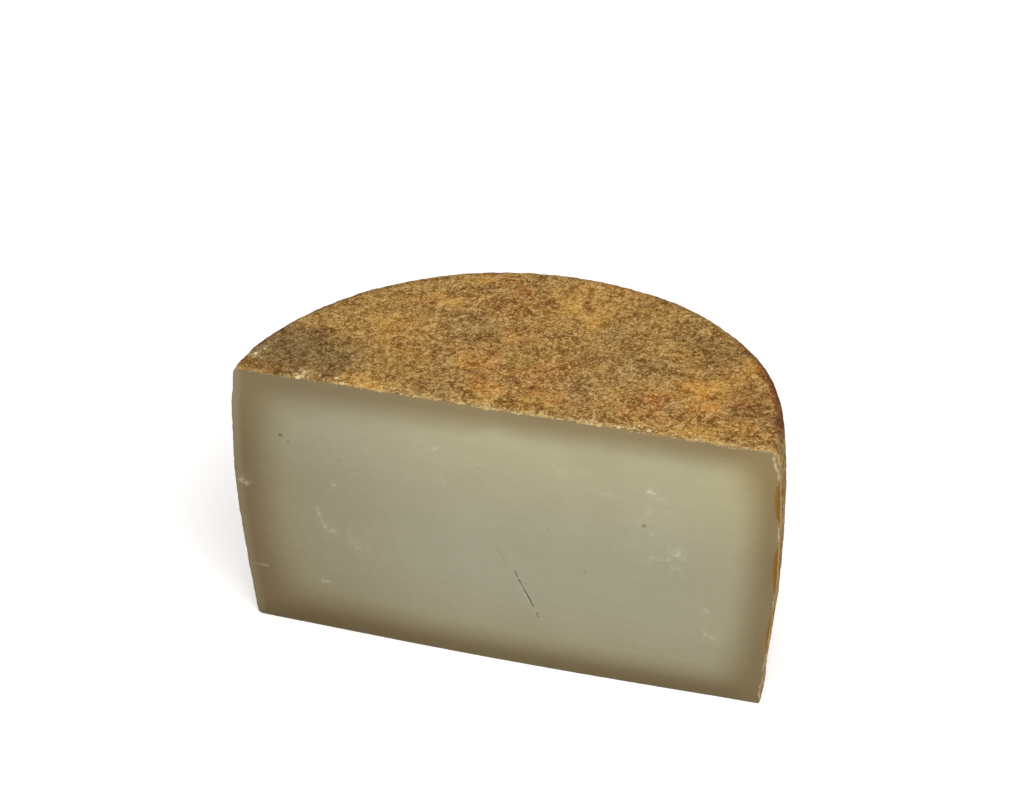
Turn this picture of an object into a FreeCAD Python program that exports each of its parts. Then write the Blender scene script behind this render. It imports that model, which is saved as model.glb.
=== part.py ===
"""Half a wheel of hard sheep's cheese, standing on its flat base.

A moulded wheel has a flat base and a flat top, a side that swells to a belly and
draws in again, and rims rounded by turning and rubbing during its ripening. One
straight cut through the wheel's axis leaves this half. The cut face carries one
short ripening slit and a few small eyes.

Units are millimetres, +Z is up. The cut face is square to Y and looks along -Y.
The origin is the middle of the base's bounding rectangle, on the base.
"""
import FreeCAD
import Part
import Sketcher

import math
import os

V = FreeCAD.Vector

# Every size that can be set by itself: alias, value, what it measures.
SIZES = [
    ("belly_radius", 118.5, "radius at the belly, the widest level"),
    ("belly_level", 76.0, "height of the belly above the base"),
    ("side_swell", 5.1, "how far the belly stands out beyond the foot of the side"),
    ("wheel_height", 126.0, "height of the flat top"),
    ("shoulder_round", 3.0, "rounding of the top rim"),
    ("heel_round", 1.5, "rounding of the bottom rim"),
    ("slit_along", 12.2, "slit's middle, along X from the wheel's axis"),
    ("slit_level", 36.6, "slit's middle, above the base"),
    ("slit_lean", -65.0, "slit's lean from level, in degrees"),
    ("slit_length", 25.0, "length of the slit"),
    ("slit_width", 0.6, "widest opening of the slit"),
    ("slit_depth", 4.0, "depth of the slit behind the cut face"),
]

# Small round eyes met by the cut, placed from the nearer rim and from the top, because
# they lie in the firm paste under the rind: side (-1 left, 1 right), inset, drop, radius.
EYES = [
    (-1, 22.3, 30.4, 0.8),
    (-1, 25.8, 33.0, 0.5),
    (1, 55.4, 45.7, 0.8),
]

# One cut through the axis leaves this much of the full turn, in degrees.
HALF_TURN = 180.0

# Two heights closer than this are the same height.
SAME_LEVEL = 0.01


def make_sheet(doc):
    """Write the driving dimensions into a spreadsheet, one named cell each."""
    sheet = doc.addObject("Spreadsheet::Sheet", "Sizes")
    rows = list(SIZES)
    for number, (_, inset, drop, radius) in enumerate(EYES, start=1):
        rows.append((f"eye_inset_{number}", inset, "eye's centre, in from the belly's radius"))
        rows.append((f"eye_drop_{number}", drop, "eye's centre, below the top"))
        rows.append((f"eye_radius_{number}", radius, "eye's radius"))
    for row, (alias, value, meaning) in enumerate(rows, start=1):
        sheet.set(f"A{row}", str(value))
        sheet.setAlias(f"A{row}", alias)
        sheet.set(f"B{row}", meaning)
    doc.recompute()
    return sheet


def cut_plane(body):
    """The body's own XZ plane, which is the plane of the cut."""
    return next(f for f in body.Origin.OriginFeatures if f.Role == "XZ_Plane")


def sketch_on_cut(body, name):
    """A new sketch on the cut plane, with its x along +X and its y along +Z."""
    sketch = body.newObject("Sketcher::SketchObject", name)
    sketch.AttachmentSupport = [(cut_plane(body), "")]
    sketch.MapMode = "FlatFace"
    return sketch


def name_and_bind(sketch, index, name, expression):
    """Name a constraint and tie its value to the sheet."""
    sketch.renameConstraint(index, name)
    sketch.setExpression(f"Constraints.{name}", expression)


def profile_sketch(body, sheet):
    """Half section of the wheel: base, swelling side, top, and the wheel's axis."""
    belly, level = sheet.belly_radius, sheet.belly_level
    swell, height = sheet.side_swell, sheet.wheel_height
    foot = belly - swell
    arc_radius = (swell ** 2 + level ** 2) / (2 * swell)
    centre_x = belly - arc_radius
    top = centre_x + math.sqrt(arc_radius ** 2 - (height - level) ** 2)

    sketch = sketch_on_cut(body, "WheelProfile")
    base = sketch.addGeometry(Part.LineSegment(V(0, 0, 0), V(foot, 0, 0)))
    start = math.atan2(-level, foot - centre_x)
    end = math.atan2(height - level, top - centre_x)
    side = sketch.addGeometry(
        Part.ArcOfCircle(Part.Circle(V(centre_x, level, 0), V(0, 0, 1), arc_radius), start, end)
    )
    lid = sketch.addGeometry(Part.LineSegment(V(top, height, 0), V(0, height, 0)))
    axis = sketch.addGeometry(Part.LineSegment(V(0, height, 0), V(0, 0, 0)))
    belly_mark = sketch.addGeometry(Part.Point(V(belly, level, 0)))
    sketch.toggleConstruction(belly_mark)

    join = Sketcher.Constraint
    origin = (-1, 1)
    sketch.addConstraint(join("Coincident", base, 1, *origin))
    sketch.addConstraint(join("Coincident", base, 2, side, 1))
    sketch.addConstraint(join("Coincident", side, 2, lid, 1))
    sketch.addConstraint(join("Coincident", lid, 2, axis, 1))
    sketch.addConstraint(join("Coincident", axis, 2, base, 1))
    sketch.addConstraint(join("Horizontal", base))
    sketch.addConstraint(join("Horizontal", lid))
    sketch.addConstraint(join("Vertical", axis))
    sketch.addConstraint(join("PointOnObject", belly_mark, 1, side))
    # The arc's centre is level with the belly, so the belly is the widest place.
    sketch.addConstraint(join("Horizontal", side, 3, belly_mark, 1))

    foot_index = sketch.addConstraint(join("DistanceX", *origin, base, 2, foot))
    name_and_bind(sketch, foot_index, "foot", "Sizes.belly_radius - Sizes.side_swell")
    height_index = sketch.addConstraint(join("DistanceY", *origin, lid, 2, height))
    name_and_bind(sketch, height_index, "height", "Sizes.wheel_height")
    belly_index = sketch.addConstraint(join("DistanceX", *origin, belly_mark, 1, belly))
    name_and_bind(sketch, belly_index, "belly", "Sizes.belly_radius")
    level_index = sketch.addConstraint(join("DistanceY", *origin, belly_mark, 1, level))
    name_and_bind(sketch, level_index, "level", "Sizes.belly_level")
    return sketch


def turn_profile(body, profile):
    """Turn the profile about the wheel's axis, away from the cut face."""
    turned = body.newObject("PartDesign::Revolution", "HalfWheelBlank")
    turned.Profile = profile
    turned.ReferenceAxis = (profile, ["V_Axis"])
    turned.Angle = HALF_TURN
    body.Document.recompute()
    if turned.Shape.CenterOfMass.y < 0:
        turned.Reversed = True
        body.Document.recompute()
    return turned


def rim_edges(shape, level):
    """Names of the shape's curved rim edges that lie at one height."""
    return [
        f"Edge{number}"
        for number, edge in enumerate(shape.Edges, start=1)
        if edge.Curve.TypeId == "Part::GeomCircle"
        and abs(edge.BoundBox.ZMin - level) < SAME_LEVEL
        and abs(edge.BoundBox.ZMax - level) < SAME_LEVEL
    ]


def round_rim(body, base, name, level, size):
    """Round the rim at one height by the named size."""
    rounded = body.newObject("PartDesign::Fillet", name)
    rounded.Base = (base, rim_edges(base.Shape, level))
    rounded.setExpression("Radius", size)
    body.Document.recompute()
    return rounded


def cut_slit(body, sheet):
    """The ripening slit: a lens of two shallow arcs, sunk straight into the cut face."""
    half = sheet.slit_length / 2
    gape = sheet.slit_width / 2
    sketch = sketch_on_cut(body, "SlitOutline")
    sketch.setExpression("AttachmentOffset.Base.x", "Sizes.slit_along")
    sketch.setExpression("AttachmentOffset.Base.y", "Sizes.slit_level")
    sketch.setExpression("AttachmentOffset.Rotation.Angle", "Sizes.slit_lean")

    tips = [V(-half, 0, 0), V(half, 0, 0)]
    upper = sketch.addGeometry(Part.Arc(tips[0], V(0, gape, 0), tips[1]))
    lower = sketch.addGeometry(Part.Arc(tips[0], V(0, -gape, 0), tips[1]))
    crest = sketch.addGeometry(Part.Point(V(0, gape, 0)))
    sketch.toggleConstruction(crest)
    join = Sketcher.Constraint
    # Part.Arc may store an arc's ends in either order, so the joints follow its points.
    starts_left = [sketch.getPoint(arc, 1).x < 0 for arc in (upper, lower)]
    left = [1 if first else 2 for first in starts_left]
    right = [2 if first else 1 for first in starts_left]
    sketch.addConstraint(join("Coincident", upper, left[0], lower, left[1]))
    sketch.addConstraint(join("Coincident", upper, right[0], lower, right[1]))
    sketch.addConstraint(join("Symmetric", upper, left[0], upper, right[0], -1, 1))
    sketch.addConstraint(join("PointOnObject", upper, right[0], -1))
    sketch.addConstraint(join("Equal", upper, lower))
    sketch.addConstraint(join("PointOnObject", crest, 1, upper))
    sketch.addConstraint(join("PointOnObject", crest, 1, -2))
    length_index = sketch.addConstraint(
        join("DistanceX", upper, left[0], upper, right[0], sheet.slit_length)
    )
    name_and_bind(sketch, length_index, "length", "Sizes.slit_length")
    gape_index = sketch.addConstraint(join("DistanceY", -1, 1, crest, 1, gape))
    name_and_bind(sketch, gape_index, "gape", "Sizes.slit_width / 2")

    pocket = body.newObject("PartDesign::Pocket", "Slit")
    pocket.Profile = sketch
    pocket.setExpression("Length", "Sizes.slit_depth")
    body.Document.recompute()
    return pocket


def cut_eye(body, number, side):
    """One eye: a ball cut whose centre lies on the cut plane, on the left (-1) or right (1)."""
    eye = body.newObject("PartDesign::SubtractiveSphere", f"Eye{number}")
    eye.AttachmentSupport = [(cut_plane(body), "")]
    eye.MapMode = "FlatFace"
    along = f"{side} * (Sizes.belly_radius - Sizes.eye_inset_{number})"
    eye.setExpression("AttachmentOffset.Base.x", along)
    eye.setExpression("AttachmentOffset.Base.y", f"Sizes.wheel_height - Sizes.eye_drop_{number}")
    eye.setExpression("Radius", f"Sizes.eye_radius_{number}")
    body.Document.recompute()
    return eye


def check_document(doc, body):
    """Stop if any object failed, or if the body isn't one valid solid."""
    for item in doc.Objects:
        if "Invalid" in item.State or "Error" in item.State:
            raise RuntimeError(f"{item.Label} failed: {item.State}")
    shape = body.Shape
    if shape.isNull() or not shape.isValid() or len(shape.Solids) != 1:
        raise RuntimeError(f"{body.Label} isn't one valid solid")


def check_smaller(before, after, name):
    """Stop if a cut took nothing away."""
    if not after < before:
        raise RuntimeError(f"{name} cut nothing")


def main():
    doc = FreeCAD.newDocument("HalfWheel")
    sheet = make_sheet(doc)
    body = doc.addObject("PartDesign::Body", "HalfWheel")
    body.Label = "half_wheel"

    profile = profile_sketch(body, sheet)
    doc.recompute()
    blank = turn_profile(body, profile)
    shoulder = round_rim(body, blank, "Shoulder", sheet.wheel_height, "Sizes.shoulder_round")
    heel = round_rim(body, shoulder, "Heel", 0.0, "Sizes.heel_round")
    check_smaller(blank.Shape.Volume, shoulder.Shape.Volume, "Shoulder")
    check_smaller(shoulder.Shape.Volume, heel.Shape.Volume, "Heel")

    before = heel.Shape.Volume
    slit = cut_slit(body, sheet)
    check_smaller(before, slit.Shape.Volume, "Slit")
    for number, (side, *_) in enumerate(EYES, start=1):
        before = body.Shape.Volume
        eye = cut_eye(body, number, side)
        body.Tip = eye
        doc.recompute()
        check_smaller(before, body.Shape.Volume, eye.Label)

    # The origin stands midway between the cut face and the back of the wheel.
    body.setExpression("Placement.Base.y", "-Sizes.belly_radius / 2")
    doc.recompute()
    check_document(doc, body)

    os.makedirs("parts", exist_ok=True)
    body.Shape.exportStep(f"parts/{body.Label}.step")
    box = body.Shape.optimalBoundingBox(False, False)
    print(f"{body.Label}: {box.XLength:.2f} x {box.YLength:.2f} x {box.ZLength:.2f} mm,"
          f" {body.Shape.Volume / 1000:.1f} cm3")


main()
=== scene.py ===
"""Half a wheel of hard sheep's cheese: its cut paste, natural rind and the crumbs along the cut.

Every shape is a surface worked out with numpy. Lengths are in metres, and a size in millimetres
is multiplied by MM. The wheel's axis is X = 0 on the cut plane, and Z is up from its base.
"""

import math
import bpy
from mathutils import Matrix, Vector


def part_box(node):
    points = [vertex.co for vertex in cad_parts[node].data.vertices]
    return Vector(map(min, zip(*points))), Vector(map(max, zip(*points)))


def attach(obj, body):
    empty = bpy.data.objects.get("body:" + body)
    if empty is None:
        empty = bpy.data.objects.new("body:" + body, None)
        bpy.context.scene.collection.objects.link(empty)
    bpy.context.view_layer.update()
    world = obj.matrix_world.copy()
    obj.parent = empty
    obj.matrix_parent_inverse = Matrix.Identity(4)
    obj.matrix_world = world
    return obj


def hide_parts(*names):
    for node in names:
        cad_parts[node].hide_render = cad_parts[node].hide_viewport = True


bl_info = {
    "name": "Half Wheel of Cheese",
    "version": (1, 0, 0),
    "blender": (4, 5, 0),
    "location": "View3D > Sidebar > Cheese",
    "description": "Builds a half wheel of hard cheese with a natural rind in a plain studio",
    "category": "Add Mesh",
}

import bpy
import numpy as np
from mathutils import Matrix, Vector

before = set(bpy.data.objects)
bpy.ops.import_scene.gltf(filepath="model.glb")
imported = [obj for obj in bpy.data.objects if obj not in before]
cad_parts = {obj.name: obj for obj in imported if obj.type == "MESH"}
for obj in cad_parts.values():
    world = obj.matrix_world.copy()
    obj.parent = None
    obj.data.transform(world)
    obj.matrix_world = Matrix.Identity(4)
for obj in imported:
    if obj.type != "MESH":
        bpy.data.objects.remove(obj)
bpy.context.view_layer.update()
WHEEL_LOW, WHEEL_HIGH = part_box("half_wheel")

MM = 0.001
BELLY_RADIUS = (WHEEL_HIGH.x - WHEEL_LOW.x) / 2
WHEEL_HEIGHT = WHEEL_HIGH.z
CUT_Y = WHEEL_LOW.y

# The belly's level, and how far the foot of the side lies inside the belly.
BELLY_LEVEL = 0.603 * WHEEL_HEIGHT
SIDE_SWELL = 0.043 * BELLY_RADIUS


def linear(hex_colour):
    """An sRGB hex value as linear red, green and blue."""
    srgb = np.array([int(hex_colour[i:i + 2], 16) for i in (1, 3, 5)]) / 255.0
    low = srgb / 12.92
    high = ((srgb + 0.055) / 1.055) ** 2.4
    return tuple(float(v) for v in np.where(srgb <= 0.04045, low, high))


def colour_property(name, hex_colour, description):
    """A colour that a user can change, whose default is an sRGB hex value."""
    return bpy.props.FloatVectorProperty(
        name=name, description=description, subtype="COLOR", size=3, min=0.0, max=1.0,
        default=linear(hex_colour),
    )


def length_property(name, metres, description):
    """A length that a user can change."""
    return bpy.props.FloatProperty(
        name=name, description=description, subtype="DISTANCE", unit="LENGTH",
        default=metres, min=0.0, precision=4,
    )


def angle_property(name, degrees, description):
    """An angle that a user can change."""
    return bpy.props.FloatProperty(
        name=name, description=description, subtype="ANGLE", unit="ROTATION",
        default=math.radians(degrees),
    )


# ---------------------------------------------------------------- settings


class CheeseWheelSizes(bpy.types.PropertyGroup):
    """Sizes of the wheel that the paste, the rind and the crumbs all follow."""

    belly_radius: length_property("Belly radius", BELLY_RADIUS, "Radius at the widest level")
    belly_level: length_property("Belly level", BELLY_LEVEL, "Height of the widest level")
    side_swell: length_property("Side swell", SIDE_SWELL, "Belly beyond the foot of the side")
    height: length_property("Height", WHEEL_HEIGHT, "Height of the flat top")
    shoulder: length_property("Shoulder", 3.0 * MM, "Rounding of the top rim")
    heel: length_property("Heel", 1.5 * MM, "Rounding of the bottom rim")
    chip_depth: length_property("Chip depth", 2.2 * MM, "How far the rind crumbled along the cut")
    rind: length_property("Rind", 1.6 * MM, "Thickness of the rind")


class CheesePasteLooks(bpy.types.PropertyGroup):
    """Colours and marks of the cut paste."""

    heart: colour_property("Heart", "#a39f87", "Paste in the middle of the wheel")
    # Bright and dusk are partly paste tone and partly painted light: paler towards the top, darker
    # towards the left and the base.
    bright: colour_property("Bright", "#b5af8c", "Paler, moister paste towards the top")
    dusk: colour_property("Dusk", "#8d8469", "Drier, browner paste towards the left and the base")
    band: colour_property("Band", "#cebca6", "How far the band under the rind darkens the paste")
    cure: colour_property("Cure", "#fefaee", "How far drying yellows the paste beyond the band")
    # Foot darkens the paste along the base: partly its own colour, partly painted contact shadow.
    foot: colour_property("Foot", "#e2e5e1", "How far the wheel's damp foot darkens it further")
    skin: colour_property("Skin", "#93753a", "Cut edge of the rind")
    bloom: colour_property("Bloom", "#c6b794", "Pale mould in the crack between rind and paste")
    # Smear also paints highlight on the lit lips of small steps and of the slit.
    smear: colour_property("Smear", "#d0cbb0", "Where the knife dragged the paste")
    amber: colour_property("Amber", "#825600", "Oily stretches of the rind's cut edge")
    # Slit paints shade inside the slit, the eyes and the hairline.
    slit: colour_property("Slit", "#6c5e36", "Inside of the slit and the eyes")
    slit_length: length_property("Slit length", 25.0 * MM, "Length of the ripening slit")
    slit_width: length_property("Slit width", 0.36 * MM, "Widest opening of the slit")
    slit_depth: length_property("Slit depth", 4.0 * MM, "Depth of the slit")


class CheeseRindLooks(bpy.types.PropertyGroup):
    """Colours of the natural brushed rind."""

    ochre: colour_property("Ochre", "#9a7434", "Main colour of the top")
    golden: colour_property("Golden", "#e8b050", "Golden patches")
    russet: colour_property("Russet", "#a85400", "Reddish patches")
    amber: colour_property("Amber", "#7e5a12", "Oily patches")
    grey: colour_property("Grey", "#8d7045", "Patches of old grey mould")
    flank: colour_property("Flank", "#93703a", "Main colour of the side")
    umber: colour_property("Umber", "#c8b46c", "How far a hollow darkens what it lies in")
    maroon: colour_property("Maroon", "#9a7468", "How far the rim darkens")
    # This colour darkens the top's darker places, and paints the shadow of a wedge on its left.
    damp: colour_property("Damp", "#c8c9cc", "How far damp places darken the rind")
    sand: colour_property("Sand", "#ddb878", "Dry tips of the grains")
    cream: colour_property("Cream", "#dccb98", "Broken edge and crumbs")


class CheeseStageSettings(bpy.types.PropertyGroup):
    """Where the camera stands and how pale the floor is."""

    azimuth: angle_property("Azimuth", 18.9, "Camera's turn to the right of the cut face's normal")
    elevation: angle_property("Elevation", 31.5, "Camera's height above the horizon")
    roll: angle_property("Roll", -1.4, "Camera's turn about its own line of sight")
    distance: length_property("Distance", 1.089, "From the camera to the point that it looks at")
    aim_side: length_property("Aim to the side", 4.8 * MM, "Point looked at, right of the axis")
    aim_height: length_property("Aim height", 134.0 * MM, "Point looked at, above the base")
    lens: bpy.props.FloatProperty(
        name="Lens", description="Focal length in millimetres on a 36 mm sensor", default=95.9,
    )
    floor_tone: colour_property("Floor", "#ececec", "Pale floor")


# ---------------------------------------------------------------- noise and soft steps

# Directions in the noise's table, a power of two, and what brings its values to about -1 to 1.
DIRECTIONS = 256
NOISE_GAIN = 1.6


def smooth_noise(points, size, seed):
    """Gradient noise, about -1 to 1, with features of the given size.

    Each corner of a cubic lattice holds a random direction; the value is the dot product of that
    direction with the way from the corner to the point, eased between the eight corners by
    6t^5 - 15t^4 + 10t^3.
    """
    rng = np.random.default_rng(seed)
    order = rng.permutation(DIRECTIONS)
    directions = rng.normal(size=(DIRECTIONS, 3))
    directions /= np.linalg.norm(directions, axis=1, keepdims=True)
    scaled = points / size + rng.uniform(0, DIRECTIONS, 3)
    cell = np.floor(scaled).astype(int)
    part = scaled - cell
    ease = part ** 3 * (part * (part * 6 - 15) + 10)
    total = np.zeros(len(points))
    last = DIRECTIONS - 1
    for corner in np.ndindex(2, 2, 2):
        step = np.array(corner)
        x, y, z = ((cell + step) & last).T
        chosen = directions[order[(order[(order[x] + y) & last] + z) & last]]
        weight = np.prod(np.where(step, ease, 1 - ease), axis=1)
        total += weight * np.sum(chosen * (part - step), axis=1)
    return total * NOISE_GAIN


def layered_noise(points, size, seed, layers=3, gain=0.5):
    """Sum of smooth_noise at halving sizes, each layer `gain` as strong as the one before."""
    total, strength, reach = np.zeros(len(points)), 1.0, 0.0
    for layer in range(layers):
        total += strength * smooth_noise(points, size / 2 ** layer, seed + layer)
        reach += strength
        strength *= gain
    return total / reach


def smoothstep(low, high, value):
    """0 below low, 1 above high, and 3t^2 - 2t^3 between them."""
    t = np.clip((value - low) / (high - low), 0, 1)
    return t * t * (3 - 2 * t)


def hump(distance, width, power=2):
    """e^-(d / w)^p: 1 at no distance, and close to 0 from about twice the width on."""
    return np.exp(-((distance / width) ** power))


def humps(place, rows):
    """The strongest of several humps, whose rows hold middle, width and strength."""
    return np.max([power * hump(place - middle, width) for middle, width, power in rows], axis=0)


# ---------------------------------------------------------------- shape of the wheel

# How far, in mm, the wheel is out of true: proud at the right's top and foot, flared beside the
# cut, hollow at the right's waist, drawn in at the left's rims, and sagged forwards at the cut.
PROUD_TOP = 0.9
PROUD_FOOT = 0.7
FLARE = 1.1
WAIST = 1.6
DRAWN_IN = 0.8
SAG = 2.0

# How much rounder the shoulder and sharper the heel are at the right end than at the back, and the
# least rounding that a sunken sheet keeps there.
SHOULDER_SKEW = 0.35
HEEL_SKEW = 0.5
LEAST_SHOULDER = 0.5 * MM
LEAST_HEEL = 0.4 * MM

# Heights and widths of the rind's unevenness.
LUMPS = 0.55 * MM
LUMP_WIDTH = 34 * MM
PITS = 0.55 * MM
PIT_WIDTH = 8 * MM
GRAIN = 0.34 * MM
GRAIN_WIDTH = 3.2 * MM

# Chips along the top rim: their width, and how far below the top they reach.
CHIP_WIDTH = 14 * MM
CHIP_DROP = 9 * MM


def half_disc(across, away):
    """Square to half disc: x = u sqrt(1 - v^2 / 2) and y = v sqrt(1 - u^2 / 2).

    u runs -1 to 1 and v 0 to 1. Returns the plan radius, 0 at the axis and 1 at the rim, and the
    unit direction from the axis.
    """
    x = across * np.sqrt(1 - away ** 2 / 2)
    y = away * np.sqrt(1 - across ** 2 / 2)
    reach = np.hypot(x, y)
    safe = np.where(reach > 0, reach, 1)
    return reach, x / safe, y / safe


def side_radius(sizes, z):
    """Radius at height z: an arc whose centre is level with the belly and which passes the foot.

    The arc's radius is (s^2 + b^2) / 2s, for a swell s of the belly beyond the foot at height b.
    """
    swell, level = sizes.side_swell, sizes.belly_level
    arc = (swell ** 2 + level ** 2) / (2 * swell)
    return sizes.belly_radius - arc + np.sqrt(arc ** 2 - (z - level) ** 2)


def out_of_true(sizes, way_x, z):
    """How far the side stands out of round at height z, from how the wheel settled in its mould.

    The share of the height chooses what counts, and the waist starts behind the flare. `way_x` is
    the direction's X part: 1 at the right end of the cut, 0 at the back and -1 at the left end.
    """
    share = z / sizes.height
    right, left = np.maximum(way_x, 0), np.maximum(-way_x, 0)
    behind = smoothstep(0, 0.3, np.sqrt(np.maximum(1 - way_x ** 2, 0)))
    proud = PROUD_TOP * smoothstep(0.5, 0.85, share) + PROUD_FOOT * smoothstep(0.06, 0.0, share)
    flare = FLARE * smoothstep(0.25, 0.5, share) * (1 - behind)
    waist = WAIST * hump(share - 0.13, 0.12) * behind
    drawn = DRAWN_IN * (smoothstep(0.5, 0.2, share) + smoothstep(0.84, 0.94, share))
    return MM * (right * (proud + flare - waist) - left * drawn)


def cut_bow(sizes, x, z):
    """How far the cut has sagged forwards: SAG (1 - (x / R)^2)^1.5 at the foot, 0 half way up."""
    middle = np.clip(1 - (x / sizes.belly_radius) ** 2, 0, 1) ** 1.5
    return SAG * MM * middle * smoothstep(0.5 * sizes.height, 0, z)


def rounded_corner(along, rounding):
    """A square corner rounded by an arc, as offsets from the corner, by the length along it.

    Length is counted from the arc's middle: negative on the flat, positive down the side. Returns
    the offsets outwards and upwards, both 0 or less, and the surface normal's two parts.
    """
    quarter = rounding * math.pi / 4
    angle = np.clip(math.pi / 4 - along / rounding, 0, math.pi / 2)
    out = rounding * (np.cos(angle) - 1) + np.minimum(along + quarter, 0)
    up = rounding * (np.sin(angle) - 1) - np.maximum(along - quarter, 0)
    return out, up, np.cos(angle), np.sin(angle)


def wheel_profile(sizes, way_x, around, inset):
    """Radius, height and normal of the smooth wheel, sunk by `inset`.

    `around` runs 0 to 1 from the axis over the top to the middle of the shoulder, 1 to 2 down the
    side to the middle of the heel, and 2 to 3 over the base to the axis. Both rims follow
    rounded_corner, and the radius follows side_radius and out_of_true.
    """
    belly = sizes.belly_radius - inset
    height = sizes.height - 2 * inset
    shoulder = np.maximum(sizes.shoulder * (1 + SHOULDER_SKEW * way_x) - inset, LEAST_SHOULDER)
    heel = np.maximum(sizes.heel * (1 - HEEL_SKEW * way_x) - inset, LEAST_HEEL)
    saved = 1 - math.pi / 4
    lid = belly - shoulder * saved
    side = height - (shoulder + heel) * saved
    base = belly - heel * saved
    along = (around - 1) * np.where(around < 1, lid, side)
    along = np.where(around > 2, side + (around - 2) * base, along)
    upper = along < side / 2
    out_a, up_a, flat_a, rise_a = rounded_corner(along, shoulder)
    out_b, up_b, flat_b, rise_b = rounded_corner(side - along, heel)
    radius = belly + np.where(upper, out_a, out_b)
    z = np.where(upper, height + up_a, -up_b) + inset
    radius *= (side_radius(sizes, z) + out_of_true(sizes, way_x, z)) / sizes.belly_radius
    return radius, z, np.where(upper, flat_a, flat_b), np.where(upper, rise_a, -rise_b)


def rind_grain(points):
    """The rind's grain, about -1 to 1: crumbly grains 2 to 3 mm wide with finer ones on them."""
    return layered_noise(points, GRAIN_WIDTH, 31, layers=2, gain=0.75)


def rind_relief(points, normal_z):
    """How far the rind stands out from the smooth wheel: lumps, shallow pits and grain.

    The base is pressed flat by its shelf, so there it only dips.
    """
    lumps = LUMPS * layered_noise(points, LUMP_WIDTH, 11, layers=2)
    pits = -PITS * np.maximum(layered_noise(points, PIT_WIDTH, 21, layers=2) - 0.1, 0)
    relief = lumps + pits + GRAIN * rind_grain(points)
    return np.where(normal_z < -0.5, -0.4 * np.abs(relief), relief)


def edge_chips(sizes, points):
    """How far the top rim has crumbled away at each point, in metres downwards.

    The depth along the cut is clipped noise, less on the left, and it fades over a few
    millimetres behind the cut and below the top.
    """
    along = points * np.array([1, 0, 0])
    rough = layered_noise(along, CHIP_WIDTH, 41, layers=4, gain=0.7)
    whole = 1 - 0.6 * smoothstep(-60 * MM, -105 * MM, points[:, 0])
    depth = sizes.chip_depth * np.clip(rough + 0.18, 0, 1) * whole
    width = (1.0 + 2.2 * np.clip(smooth_noise(along, 9 * MM, 45) + 0.4, 0, 1)) * MM
    near_top = smoothstep(sizes.height - CHIP_DROP, sizes.height - 1 * MM, points[:, 2])
    return depth * hump(points[:, 1], width) * near_top


def wheel_skin(sizes, way_x, way_y, around, inset=0.0):
    """Points of the wheel's uneven skin, sunk by `inset`, and the smooth skin's points and normals.

    An uneven point is the smooth one moved along its normal by rind_relief and lowered by
    edge_chips. The directions and `around` broadcast to one shape, and every result has a row of
    three numbers for each of its entries.
    """
    way_x, way_y, around, inset = (
        part.ravel() for part in np.broadcast_arrays(way_x, way_y, around, inset)
    )
    radius, z, flat, rise = wheel_profile(sizes, way_x, around, 0.0)
    smooth = np.column_stack([radius * way_x, radius * way_y, z])
    normals = np.column_stack([flat * way_x, flat * way_y, rise])
    relief = rind_relief(smooth, rise)
    chips = edge_chips(sizes, smooth)
    radius, z, _, _ = wheel_profile(sizes, way_x, around, inset)
    points = np.column_stack([radius * way_x, radius * way_y, z]) + normals * relief[:, None]
    points[:, 2] = np.maximum(points[:, 2] - chips, inset)
    return points, smooth, normals


# ---------------------------------------------------------------- meshes

# Edges that turn by more than this are shaded sharp.
SHARP_TURN = math.radians(60)


def with_area(triangles):
    """The triangles whose three vertex numbers differ."""
    return triangles[(triangles != np.roll(triangles, 1, axis=1)).all(axis=1)]


def grid_triangles(index):
    """Two triangles for each cell of a grid of vertex numbers, without those that have no area."""
    a, b, c, d = index[:-1, :-1], index[1:, :-1], index[1:, 1:], index[:-1, 1:]
    return with_area(np.stack([a, b, c, a, c, d], axis=-1).reshape(-1, 3))


def grid_rim(index):
    """Vertex numbers round the outside of a grid, back to the first one."""
    rim = [index[:-1, 0], index[-1, :-1], index[:0:-1, -1], index[0, :0:-1], index[:1, 0]]
    return np.concatenate(rim)


def bridge(many, few):
    """Triangles between two lines of vertex numbers, the first of which has more points.

    Each point of the first goes to the nearest one of the second, by their shares of the way.
    """
    near = np.round(np.linspace(0, len(few) - 1, len(many))).astype(int)
    fan = np.column_stack([many[:-1], many[1:], few[near[:-1]]])
    turn = near[:-1] != near[1:]
    link = np.column_stack([many[1:], few[near[1:]], few[near[:-1]]])[turn]
    return np.concatenate([fan, link])


def add_mesh(name, points, triangles, material, attributes):
    """A mesh object with float attributes on its points, whose place is in its mesh."""
    mesh = bpy.data.meshes.new(name)
    mesh.vertices.add(len(points))
    mesh.vertices.foreach_set("co", points.astype(np.float32).ravel())
    mesh.loops.add(triangles.size)
    mesh.loops.foreach_set("vertex_index", triangles.astype(np.int32).ravel())
    mesh.polygons.add(len(triangles))
    mesh.polygons.foreach_set("loop_start", np.arange(0, triangles.size, 3, dtype=np.int32))
    mesh.update(calc_edges=True)
    for label, values in attributes.items():
        layer = mesh.attributes.new(label, "FLOAT", "POINT")
        layer.data.foreach_set("value", np.asarray(values, np.float32))
    mesh.polygons.foreach_set("use_smooth", np.ones(len(triangles), bool))
    mesh.set_sharp_from_angle(angle=SHARP_TURN)
    mesh.materials.append(material)
    mesh.validate()
    piece = bpy.data.objects.new(name, mesh)
    bpy.context.scene.collection.objects.link(piece)
    return piece


def in_frame(points):
    """Points about the wheel's axis on the cut plane, moved to where the CAD solid stands."""
    return points + np.array([0, CUT_Y, 0])


# ---------------------------------------------------------------- materials


# The wire's streaks are long and level: noise read with X shrunk by this much.
LEVEL_STREAKS = (0.06, 1.0, 1.0)


def per_mm(size):
    """A noise node's scale for features of this many millimetres, on coordinates in metres."""
    return 1000.0 / size


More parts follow.
